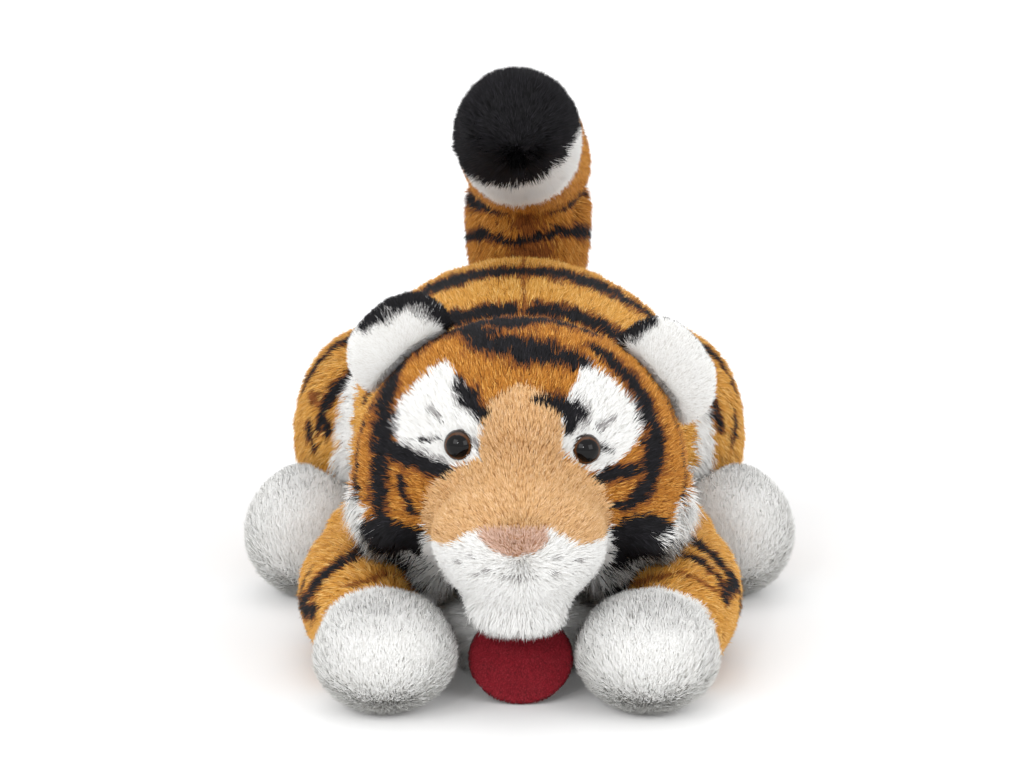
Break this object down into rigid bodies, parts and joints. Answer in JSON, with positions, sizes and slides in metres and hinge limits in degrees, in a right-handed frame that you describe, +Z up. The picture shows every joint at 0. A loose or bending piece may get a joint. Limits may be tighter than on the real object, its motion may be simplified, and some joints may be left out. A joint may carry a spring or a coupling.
{
  "type": "plush tiger",
  "caption": "A lying plush tiger with striped orange pile, white paws and muzzle, glossy eyes, a curled tail and a plain red felt tag.",
  "frame": {"origin": "centre of the footprint of the whole toy, on the floor it lies on", "axes": "+Y from the face to the tail, +Z up, +X to the tiger's own left"},
  "size_m": [0.256, 0.3729, 0.2406],
  "materials": {
    "orange_pile": "matte",
    "white_pile": "matte",
    "black_pile": "matte",
    "tan_pile": "matte",
    "nose_pile": "matte",
    "fibre": "matte",
    "red_felt": "matte",
    "eye_plastic": "gloss",
    "washer_plastic": "matte"
  },
  "bodies": {
    "torso": {"back_cover": "orange_pile", "belly_cover": "white_pile", "body_filling": "fibre", "chest_bib": "white_pile", "haunch_left": "orange_pile", "haunch_right": "orange_pile", "tag_tab": "white_pile"},
    "neck_ball": {"neck": "orange_pile"},
    "head": {"face_cover": "orange_pile", "head_back_cover": "orange_pile", "head_filling": "fibre", "nose_bridge": "tan_pile", "muzzle_top": "tan_pile", "muzzle_lower": "white_pile", "nose": "nose_pile", "chin": "white_pile", "cheek_tuft_left": "black_pile", "cheek_tuft_right": "black_pile", "eye_left": "eye_plastic", "eye_right": "eye_plastic", "eye_washer_left": "washer_plastic", "eye_washer_right": "washer_plastic"},
    "ear_of_left": {"ear_front_left": "white_pile", "ear_back_left": "black_pile"},
    "ear_of_right": {"ear_front_right": "white_pile", "ear_back_right": "black_pile"},
    "leg_front_left": {"foreleg_left": "orange_pile", "front_paw_left": "white_pile"},
    "leg_front_right": {"foreleg_right": "orange_pile", "front_paw_right": "white_pile"},
    "foot_hind_left": {"hind_paw_left": "white_pile"},
    "foot_hind_right": {"hind_paw_right": "white_pile"},
    "tail_stem": {"tail_base": "orange_pile"},
    "tail_end": {"tail_bend": "orange_pile", "tail_ring": "white_pile", "tail_tip": "black_pile"},
    "felt_tag": {"tag": "red_felt"}
  },
  "joints": [
    {"name": "head_nod", "type": "hinge", "parent": "torso", "child": "neck_ball", "pos_m": [0, -0.056, 0.084], "axis": [1, 0, 0], "range_deg": [-8, 0], "stiffness_Nm_per_rad": 5},
    {"name": "head_turn", "type": "hinge", "parent": "neck_ball", "child": "head", "pos_m": [0, -0.056, 0.084], "axis": [0, 0, 1], "range_deg": [-7, 7], "stiffness_Nm_per_rad": 2},
    {"name": "ear_left_fold", "type": "hinge", "parent": "head", "child": "ear_of_left", "pos_m": [0.05598, -0.0934, 0.12212], "axis": [0.6018, 0, -0.7986], "range_deg": [-15, 10], "stiffness_Nm_per_rad": 0.2},
    {"name": "ear_right_fold", "type": "hinge", "parent": "head", "child": "ear_of_right", "pos_m": [-0.04627, -0.0934, 0.13251], "axis": [0.7547, 0, 0.6561], "range_deg": [-15, 10], "stiffness_Nm_per_rad": 0.2},
    {"name": "foreleg_left_swing", "type": "hinge", "parent": "torso", "child": "leg_front_left", "pos_m": [0.066, -0.016, 0.034], "axis": [0, 0, 1], "range_deg": [0, 8], "stiffness_Nm_per_rad": 1},
    {"name": "foreleg_right_swing", "type": "hinge", "parent": "torso", "child": "leg_front_right", "pos_m": [-0.066, -0.016, 0.034], "axis": [0, 0, 1], "range_deg": [-8, 0], "stiffness_Nm_per_rad": 1},
    {"name": "hind_paw_left_swing", "type": "hinge", "parent": "torso", "child": "foot_hind_left", "pos_m": [0.0995, 0.05, 0.03], "axis": [0, 0, 1], "range_deg": [0, 12], "stiffness_Nm_per_rad": 0.5},
    {"name": "hind_paw_right_swing", "type": "hinge", "parent": "torso", "child": "foot_hind_right", "pos_m": [-0.0995, 0.05, 0.03], "axis": [0, 0, 1], "range_deg": [-12, 0], "stiffness_Nm_per_rad": 0.5},
    {"name": "tail_sway", "type": "hinge", "parent": "torso", "child": "tail_stem", "pos_m": [0.0045, 0.137, 0.104], "axis": [0, 1, 0], "range_deg": [-8, 8], "stiffness_Nm_per_rad": 3},
    {"name": "tail_curl", "type": "hinge", "parent": "tail_stem", "child": "tail_end", "pos_m": [0.00482, 0.15038, 0.17446], "axis": [1, 0, 0], "range_deg": [-8, 8], "stiffness_Nm_per_rad": 2},
    {"name": "tag_flap", "type": "hinge", "parent": "torso", "child": "felt_tag", "pos_m": [0, -0.1365, 0.034], "axis": [1, 0, 0], "range_deg": [-25, 0]}
  ]
}
